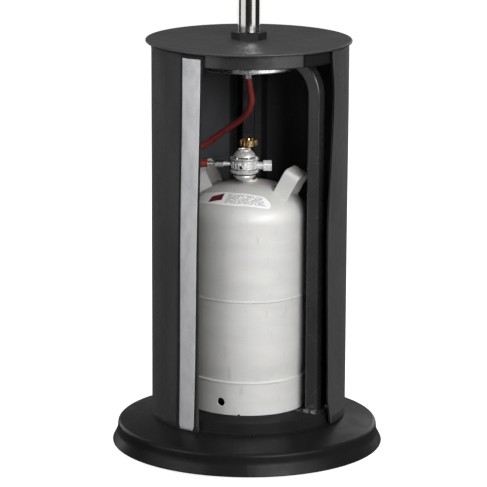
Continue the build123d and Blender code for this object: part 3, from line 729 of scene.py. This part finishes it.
def bead_line(name, points, radius, finish, slot, body="frame", sides=8):
    """A round cord of that radius along a line of points."""
    ring = []
    for index, point in enumerate(points):
        ahead = points[min(index + 1, len(points) - 1)] - points[max(index - 1, 0)]
        out = away(point)
        across = ahead.normalized().cross(out).normalized()
        for k in range(sides):
            turn = math.tau * k / sides
            ring.append(point + (out * math.cos(turn) + across * math.sin(turn)) * radius)
    faces = []
    for c in range(len(points) - 1):
        for r in range(sides):
            n = (r + 1) % sides
            faces.append((c * sides + r, c * sides + n, (c + 1) * sides + n, (c + 1) * sides + r))
    faces.append(tuple(reversed(range(sides))))
    faces.append(tuple(range((len(points) - 1) * sides, len(points) * sides)))
    return piece(name, ring, faces, finish, slot, body)


STITCH = 0.0032  # length of a stitch
STITCH_PITCH = 0.0046
STITCH_GAP = 0.15  # before each stitch, as a share of the pitch
STITCH_LIFT = 0.0008


def stitches(name, lines, finish, slot, body="frame"):
    """Short raised threads along lines: each is a function of a share from 0 to 1, and a length."""
    points, faces = [], []
    for line, length in lines:
        count = max(2, round(length / STITCH_PITCH))
        for k in range(count):
            enter = k + STITCH_GAP
            start, end = line(enter / count), line((enter + STITCH / STITCH_PITCH) / count)
            middle = (start + end) / 2
            out = away(middle)
            across = (end - start).normalized().cross(out) * 0.00035
            top, under = middle + out * 0.0005, middle - out * 0.0004
            first = len(points)
            points += [start, middle + across, top, middle - across, under, end]
            for a, b in ((1, 2), (2, 3), (3, 4), (4, 1)):
                faces.append((first, first + a, first + b))
                faces.append((first + 5, first + b, first + a))
    return piece(name, points, faces, finish, slot, body)


def panel_line(from_place, to_place, lift=STITCH_LIFT):
    """A straight line on the panel between two (azimuth, height) places, and its length."""
    def line(share):
        azimuth = from_place[0] + (to_place[0] - from_place[0]) * share
        return panel_surface(azimuth, from_place[1] + (to_place[1] - from_place[1]) * share, lift)

    along = math.radians(to_place[0] - from_place[0]) * PANEL_RADIUS
    return line, math.hypot(along, to_place[1] - from_place[1])


# Stitched boxes low on the panel's left: azimuths, heights.
STITCHED_PATCHES = (
    ((305.4, 312.0), (0.128, 0.147)),
    ((305.4, 312.0), (0.097, 0.113)),
    ((306.6, 310.8), (0.131, 0.144)),
    ((306.6, 310.8), (0.1, 0.11)),
)


def patch_outline(azimuths, heights):
    """The four sides of a stitched box on the panel."""
    corners = [(azimuths[0], heights[0]), (azimuths[1], heights[0]), (azimuths[1], heights[1])]
    corners.append((azimuths[0], heights[1]))
    return [panel_line(corner, corners[(k + 1) % 4]) for k, corner in enumerate(corners)]


def make_curtain(finishes):
    """The panel, the flap, their tapes, hems, fold and stitching."""
    outer, tape = finishes["curtain_fabric"], finishes["hook_fabric"]
    # The lining carries two bands of painted shade near the back.
    lining = coated_fabric(
        "curtain_lining", 0.183, (0.042, 0.043, 0.046), (0.052, 0.053, 0.057), 0.6, shade_bands=True
    )
    edging = coated_fabric(
        "edge_tape", WEAVE_RADIUS, (0.008, 0.008, 0.008), (0.013, 0.013, 0.013), 0.6, 0.0004
    )
    thread = coated_fabric(
        "seam_thread", WEAVE_RADIUS, (0.045, 0.045, 0.046), (0.07, 0.07, 0.072), 0.5, 0.0003
    )
    heights = spread(CURTAIN_TOP, CURTAIN_BOTTOM, 90)
    both = (outer, lining)
    panel = cloth(
        "curtain_panel_cloth", spread(0, 1, 260), heights, panel_point, both, "curtain_fabric", CLOTH
    )
    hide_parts("curtain_panel")
    flap = cloth(
        "curtain_flap_cloth", spread(0, 1, 110), heights, flap_surface, both, "curtain_fabric", CLOTH, "flap"
    )
    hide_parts("curtain_flap")

    apron_tape = strip_tape("apron_tape", APRON_TAPE_RADIUS, (34, PANEL_EDGE), 0.782, 0.760, tape)
    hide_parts("apron_hook_tape")
    tape_radius = FLAP_RADIUS - FLAP_TAPE_INSET
    flap_tape = strip_tape("flap_tape", tape_radius, (58.6, 69.4), 0.776, 0.080, tape, "flap")
    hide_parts("flap_hook_tape")

    low, width = PANEL_HEM
    hem_line = [panel_surface(azimuth, low) for azimuth in spread(59, PANEL_EDGE + 0.1, 200)]
    hem = binding("panel_hem", hem_line, width, HEM_HALF, edging)
    low, width = FLAP_HEM
    flap_line = [flap_surface(share, low) for share in spread(-0.002, 1.002, 90)]
    flap_hem = binding("flap_hem", flap_line, width, HEM_HALF, edging, "flap")
    fold_line = [flap_surface(0.0, height, 0.0002) for height in spread(0.7825, 0.067, 120)]
    fold = bead_line("flap_fold", fold_line, FOLD_RADIUS, outer, "curtain_fabric", "flap")
    rows = [panel_line((seam + side, 0.78), (seam + side, 0.078)) for seam in SEAMS for side in (-0.9, 0.9)]
    rows += [panel_line((60, height), (PANEL_EDGE - 0.5, height), 0.0011) for height in (0.7735, 0.0735)]
    for patch in STITCHED_PATCHES:
        rows += patch_outline(*patch)
    seams = stitches("panel_stitches", rows, thread, "curtain_fabric")

    def flap_row(share, high=0.779, low=0.084):
        return (lambda part: flap_surface(share, high + (low - high) * part, STITCH_LIFT)), high - low

    flap_rows = [flap_row(0.016), flap_row(0.135), flap_row(0.984)]
    flap_seams = stitches("flap_stitches", flap_rows, thread, "curtain_fabric", "flap")


# ---------------------------------------------------------------- loop strip
STRIP_RADIUS = 0.1862
STRIP_TOP = 0.7745
STRIP_BOTTOM = 0.0655
STRIP_ROUND = 0.012  # height over which the lower end's corners round off
BACKING_INSET = 0.0009


def strip_rise(height):
    """Share of the strip's height, from its lower end."""
    return (height - STRIP_BOTTOM) / (STRIP_TOP - STRIP_BOTTOM)


def strip_middle(rise):
    """Azimuth of the strip's middle line, which leans and wavers."""
    return -38.3 + 3.4 * rise + 0.25 * math.sin(9 * rise)


def strip_half(rise):
    """Half its width in degrees, a little more towards the top."""
    return 5.3 + 0.9 * rise


def strip_point(share, height):
    """A point on the grey strip; share runs across it from the left."""
    rise = strip_rise(height)
    round_end = 1.0
    low = (height - STRIP_BOTTOM) / STRIP_ROUND
    if low < 1:
        round_end = 0.8 + 0.2 * math.sqrt(max(0.0, 1 - (1 - low) ** 2))
    azimuth = strip_middle(rise) + strip_half(rise) * round_end * (2 * share - 1)
    radius = STRIP_RADIUS + 0.00025 * sway(azimuth, height, 5.0)
    return on_drum(azimuth, radius, height)


def backing_and_shade_point(share, height):
    """The dark tape behind the strip shows on both sides: binding on the right, and on the left a band of
    painted shade along the strip's edge, wider towards the floor.
    """
    rise = strip_rise(height)
    # painted shade: the dark band left of the strip, wider towards the floor
    left = strip_middle(rise) - strip_half(rise) - 1.4 - 1.6 * (1 - rise)
    right = strip_middle(rise) + strip_half(rise) + 1.3
    return on_drum(left + (right - left) * share, STRIP_RADIUS - BACKING_INSET, height)


def make_strip(finishes):
    """The grey loop strip, its dark backing with a band of painted shade on its left, and its two rows of
    stitches.
    """
    edging = coated_fabric(
        "backing_tape_and_shade", WEAVE_RADIUS, (0.007, 0.007, 0.007), (0.011, 0.011, 0.011), 0.6, 0.0004
    )
    shares, tall = spread(0, 1, 24), spread(0.7812, 0.057, 140)
    backing_and_shade = cloth("strip_backing_and_shade_cloth", shares, tall, backing_and_shade_point, (edging,), "hook_fabric", 0.0007)
    loops, tall = finishes["loop_fabric"], spread(STRIP_TOP, STRIP_BOTTOM, 140)
    strip = cloth("loop_strip_cloth", shares, tall, strip_point, (loops,), "loop_fabric", 0.001)
    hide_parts("loop_strip")

    def stitch_row(share, high=0.772, length=0.7):
        proud = Vector((0, -0.0003, 0))
        return (lambda part: strip_point(share, high - length * part) + proud), length

    thread = coated_fabric("strip_thread", WEAVE_RADIUS, (0.2, 0.2, 0.22), (0.28, 0.28, 0.3), 0.6, 0.0003)
    rows = stitches("strip_stitches", [stitch_row(0.045), stitch_row(0.955)], thread, "loop_fabric")


# ---------------------------------------------------------------- bottle label
LABEL_AZIMUTHS = (-74, 26)
LABEL_MIDDLE = 0.4962
LABEL_HALF = 0.0092
LABEL_ROUND = 6.5  # degrees over which the right-hand end rounds off
LABEL_ROWS = 6
FILM_LIFT = 0.0003
PRINT_LIFT = 0.0005
PRINT_ROWS = 8
PRINT_AZIMUTHS = (-29.0, 18.5)


def on_shoulder(azimuth, height, lift):
    """A point on the bottle's skin, lifted off it."""
    turn = math.radians(azimuth)
    inward = Vector((-math.sin(turn), math.cos(turn), 0))
    start = Vector((0, 0, height)) - inward * 0.2
    _, place, normal, _ = nodes["bottle_shell"].ray_cast(start, inward)
    return place + normal * lift


def label_place(azimuth, share, lift):
    """A point of the label, which dips at both ends: share is -1 at its lower edge, 1 at its upper one."""
    dip = 0.006 * max(0.0, (azimuth + 6) / 30) ** 1.5 + 0.0045 * max(0.0, (-36 - azimuth) / 25) ** 1.5
    return on_shoulder(azimuth, LABEL_MIDDLE - dip + LABEL_HALF * share, lift)


def label_patch(name, azimuths, low, high, lift, material, lean=0.0, rise=0.0, rounded=False):
    """A patch between two shares of the label's height; lean slants its ends, and rise its long sides."""
    points = []
    for azimuth in azimuths:
        close = 1.0
        near = (LABEL_AZIMUTHS[1] - azimuth) / LABEL_ROUND
        if rounded and near < 1:
            close = math.sqrt(max(0.02, 1 - (1 - near) ** 2))
        for share in spread(low, high, LABEL_ROWS):
            up = share * close + rise * (azimuth - azimuths[0])
            points.append(label_place(azimuth + lean * share, up, lift))
    return piece(name, points, grid_faces(len(azimuths), LABEL_ROWS), material, "label_film")


def make_label(finishes):
    """A pale band with a rounded end, a slanted red block and rows of small grey bars."""
    paper = finishes["label_film"]
    film = label_patch("label_film", spread(*LABEL_AZIMUTHS, 90), -1, 1, FILM_LIFT, paper, rounded=True)
    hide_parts("bottle_label")
    red = moulded("label_red", (0.1, 0.008, 0.014), (0.14, 0.014, 0.02), 0.4)
    label_patch("label_block", spread(-52, -36, 12), -0.78, 0.26, PRINT_LIFT, red, lean=-2.2, rise=0.032)
    ink = moulded("label_ink", (0.12, 0.12, 0.13), (0.2, 0.2, 0.21), 0.5)
    points, faces = [], []
    for row, share in enumerate(spread(0.62, -0.62, PRINT_ROWS)):
        azimuth, end = PRINT_AZIMUTHS
        while azimuth < end:
            wide = 0.9 + 1.6 * (noise.noise(Vector((azimuth, row * 3.7, 1.0))) + 0.5)
            if noise.noise(Vector((azimuth * 0.3, row * 2.3, 5.0))) > -0.25:
                first = len(points)
                for a, b in ((0, 0), (wide, 0), (wide, 1), (0, 1)):
                    points.append(label_place(azimuth + a, share + 0.075 * b, PRINT_LIFT))
                faces.append((first, first + 1, first + 2, first + 3))
            azimuth += wide + 0.55
    piece("label_print", points, faces, ink, "label_film", smooth=False)


# ---------------------------------------------------------------- regulator details
REGULATOR_AXIS = Vector((-0.0076, -0.038, 0))


def turned_piece(name, profile, finish, slot, reach=180):
    """A closed (radius, height) profile in millimetres, turned that far each way from the front."""
    sides = 96
    whole = reach >= 180
    angles = spread(-reach, reach, sides + 1)[: sides if whole else sides + 1]
    outline = profile + profile[:1]
    ring = []
    for angle in angles:
        ring += [REGULATOR_AXIS + on_drum(angle, radius * MM, height * MM) for radius, height in outline]
    made = piece(name, ring, grid_faces(len(angles), len(outline), wrap=whole), finish, slot)
    made.data.set_sharp_from_angle(angle=math.radians(40))
    return made


# Inner and outer radius, lower and upper height in millimetres, and degrees each way from the front.
JOINT_LINES = {
    "cap_groove": (19.4, 19.8, 569.6, 571.2, 180),
    "cap_gasket": (27.2, 27.75, 565.6, 566.4, 180),
    "skirt_groove": (24.8, 25.25, 547.4, 548.6, 118),
    "lower_groove": (19.3, 20.2, 537.0, 538.6, 112),
}
# Profiles of radius and height in millimetres, and degrees each way from the front.
CAST_RINGS = {
    "cap_ring": ([(19.4, 571.2), (20.7, 571.5), (21.1, 572.6), (20.7, 573.7), (19.4, 574.2)], 180),
    "crown_ring": ([(10.4, 583.2), (12.2, 582.9), (12.6, 583.9), (12.0, 585.0), (10.4, 585.2)], 180),
    "skirt_ring": ([(19.4, 532.4), (20.6, 533.0), (20.9, 534.4), (20.6, 535.8), (19.4, 536.2)], 112),
}
RIB_AZIMUTHS = (-70, -56, -42, -28, 0, 14, 28, 42, 56, 70)  # none beside the vent
RIB_RADIUS = 25
VENT_AZIMUTH = -15
VENT_HEIGHT = 0.5535
VENT_SIDES = 28
# Radius and distance out from the body, in millimetres.
VENT_COLLAR = [(3.2, 0), (5.0, 0), (5.0, 1.6), (4.4, 2.2), (3.4, 2.2), (3.2, 1.6)]
VENT_PLUG = [(0.02, 0), (3.2, 0), (3.2, 0.9), (0.6, 0.9), (0.02, 1.5)]


def make_ribs(finish):
    """Short upright ribs round the regulator's body, with sloping sides and ends."""
    points, faces = [], []
    for azimuth in RIB_AZIMUTHS:
        first = len(points)
        for turn, lift in ((-2.4, -0.3), (-1.6, 1.0), (1.6, 1.0), (2.4, -0.3)):
            for height, drop in ((549.8, 0.8), (551.0, 0.0), (560.0, 0.0), (561.2, 0.8)):
                radius = RIB_RADIUS + lift - drop
                points.append(REGULATOR_AXIS + on_drum(azimuth + turn, radius * MM, height * MM))
        for column in range(3):
            for row in range(3):
                k = first + 4 * column + row
                faces.append((k, k + 4, k + 5, k + 1))
    piece("regulator_ribs", points, faces, finish, "die_cast", smooth=False)


def make_vent(name, profile, finish, slot):
    """A profile turned about the vent's level axis."""
    out = on_drum(VENT_AZIMUTH, 1.0, 0)
    across = Vector((0, 0, 1)).cross(out)
    centre = REGULATOR_AXIS + out * 0.0247 + Vector((0, 0, VENT_HEIGHT))
    outline = profile + profile[:1]
    points = []
    for k in range(VENT_SIDES):
        turn = math.tau * k / VENT_SIDES
        spoke = across * math.cos(turn) + Vector((0, 0, math.sin(turn)))
        points += [centre + spoke * radius * MM + out * depth * MM for radius, depth in outline]
    piece(name, points, grid_faces(VENT_SIDES, len(outline), wrap=True), finish, slot)


def make_regulator_details(finishes):
    """The joint lines, cap rings, body ribs and vent of the die casting."""
    cast = finishes["die_cast"]
    dark = moulded("joint_gasket", (0.012, 0.012, 0.012), (0.02, 0.02, 0.02), 0.7)
    for name, (inner, outer, low, high, reach) in JOINT_LINES.items():
        profile = [(inner, low), (outer, low), (outer, high), (inner, high)]
        turned_piece("regulator_" + name, profile, dark, "pad_rubber", reach)
    for name, (profile, reach) in CAST_RINGS.items():
        turned_piece("regulator_" + name, profile, cast, "die_cast", reach)
    make_ribs(cast)
    make_vent("regulator_vent_collar", VENT_COLLAR, cast, "die_cast")
    make_vent("regulator_vent_plug", VENT_PLUG, dark, "pad_rubber")


# ---------------------------------------------------------------- emitter screen and dial
SCREEN_LOW = (0.0757, 1.880)  # radius, height
SCREEN_HIGH = (0.0916, 2.095)
SCREEN_CELLS = (66, 27)  # round it, up it
HOLE_CORNER = 0.31 * 0.74  # half a hole at its corners and its sides, in cells
HOLE_SIDE = 0.4 * 0.8
CELL_EDGE = ((1, 1), (0, 1), (-1, 1), (-1, 0), (-1, -1), (0, -1), (1, -1), (1, 0))


def screen_wall(column, row):
    """A point on the tapered wall, counted in cells round it and up it."""
    around, up = SCREEN_CELLS
    rise = row / up
    radius = SCREEN_LOW[0] + (SCREEN_HIGH[0] - SCREEN_LOW[0]) * rise
    height = SCREEN_LOW[1] + (SCREEN_HIGH[1] - SCREEN_LOW[1]) * rise
    turn = math.tau * column / around
    return (radius * math.sin(turn), -radius * math.cos(turn), height)


def make_screen(finishes):
    """Punched sheet: square cells with an eight-sided hole, and a plain row at each end."""
    around, up = SCREEN_CELLS
    points, faces = [], []
    shared = {}

    def rim_point(column2, row2):
        """A point on a cell's edge, in half cells, shared with its neighbours."""
        key = (column2 % (2 * around), row2)
        if key not in shared:
            shared[key] = len(points)
            points.append(screen_wall(column2 / 2, row2 / 2))
        return shared[key]

    for column in range(around):
        for row in range(up):
            outer = [rim_point(2 * column + 1 + x, 2 * row + 1 + y) for x, y in CELL_EDGE]
            if row in (0, up - 1):
                faces.append(tuple(outer))
                continue
            first = len(points)
            for x, y in CELL_EDGE:
                reach = HOLE_CORNER if x and y else HOLE_SIDE
                points.append(screen_wall(column + 0.5 + x * reach, row + 0.5 + y * reach))
            for k in range(8):
                n = (k + 1) % 8
                faces.append((outer[k], outer[n], first + n, first + k))
    steel = finishes["emitter_steel"]
    screen = piece("perforated_screen", points, faces, steel, "emitter_steel", smooth=False)
    skin = screen.modifiers.new("skin", "SOLIDIFY")
    skin.thickness = 0.0008
    skin.offset = 0.0
    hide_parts("emitter_screen")


DIAL_Y = -0.0712
DIAL_HEIGHT = 1.786


DIAL_MARKS = 11
DIAL_SWEEP = 270


def add_bar(points, faces, inner, outer, half, azimuth, front, back):
    """A box that runs out from the dial's centre, between two radii, at an azimuth in radians."""
    first = len(points)
    side = Vector((math.cos(azimuth), 0, -math.sin(azimuth)))
    out = Vector((math.sin(azimuth), 0, math.cos(azimuth)))
    centre = Vector((0, 0, DIAL_HEIGHT))
    for reach in (inner, outer):
        for across in (-half, half):
            for depth in (back, front):
                points.append(centre + out * reach + side * across + Vector((0, depth, 0)))
    for face in ((0, 1, 3, 2), (4, 6, 7, 5), (0, 4, 5, 1), (2, 3, 7, 6), (1, 5, 7, 3), (0, 2, 6, 4)):
        faces.append(tuple(first + k for k in face))


def make_dial():
    """Raised tick marks round the control knob, growing from low to high, and the knob's white line."""
    mark = moulded("mark_paint", (0.55, 0.55, 0.55), (0.66, 0.66, 0.66), 0.5)
    points, faces = [], []
    for share in spread(0, 1, DIAL_MARKS):
        turn = math.radians(DIAL_SWEEP * share)
        add_bar(points, faces, 0.0242, 0.0252 + 0.003 * share, 0.0004, turn, DIAL_Y - 0.0003, DIAL_Y + 0.0004)
    piece("dial_marks", points, faces, mark, "knob_plastic", smooth=False)
    points, faces = [], []
    add_bar(points, faces, 0.004, 0.0185, 0.0007, 0.0, -0.1024, -0.1018)
    piece("knob_line", points, faces, mark, "knob_plastic", "knob", smooth=False)


# ---------------------------------------------------------------- build
make_camera()
make_world()
make_lights()
make_floor()
finishes = make_materials()
make_hose(finishes)
make_curtain(finishes)
make_strip(finishes)
make_label(finishes)
make_regulator_details(finishes)
make_screen(finishes)
make_dial()

bpy.context.scene.view_settings.view_transform = "Standard"
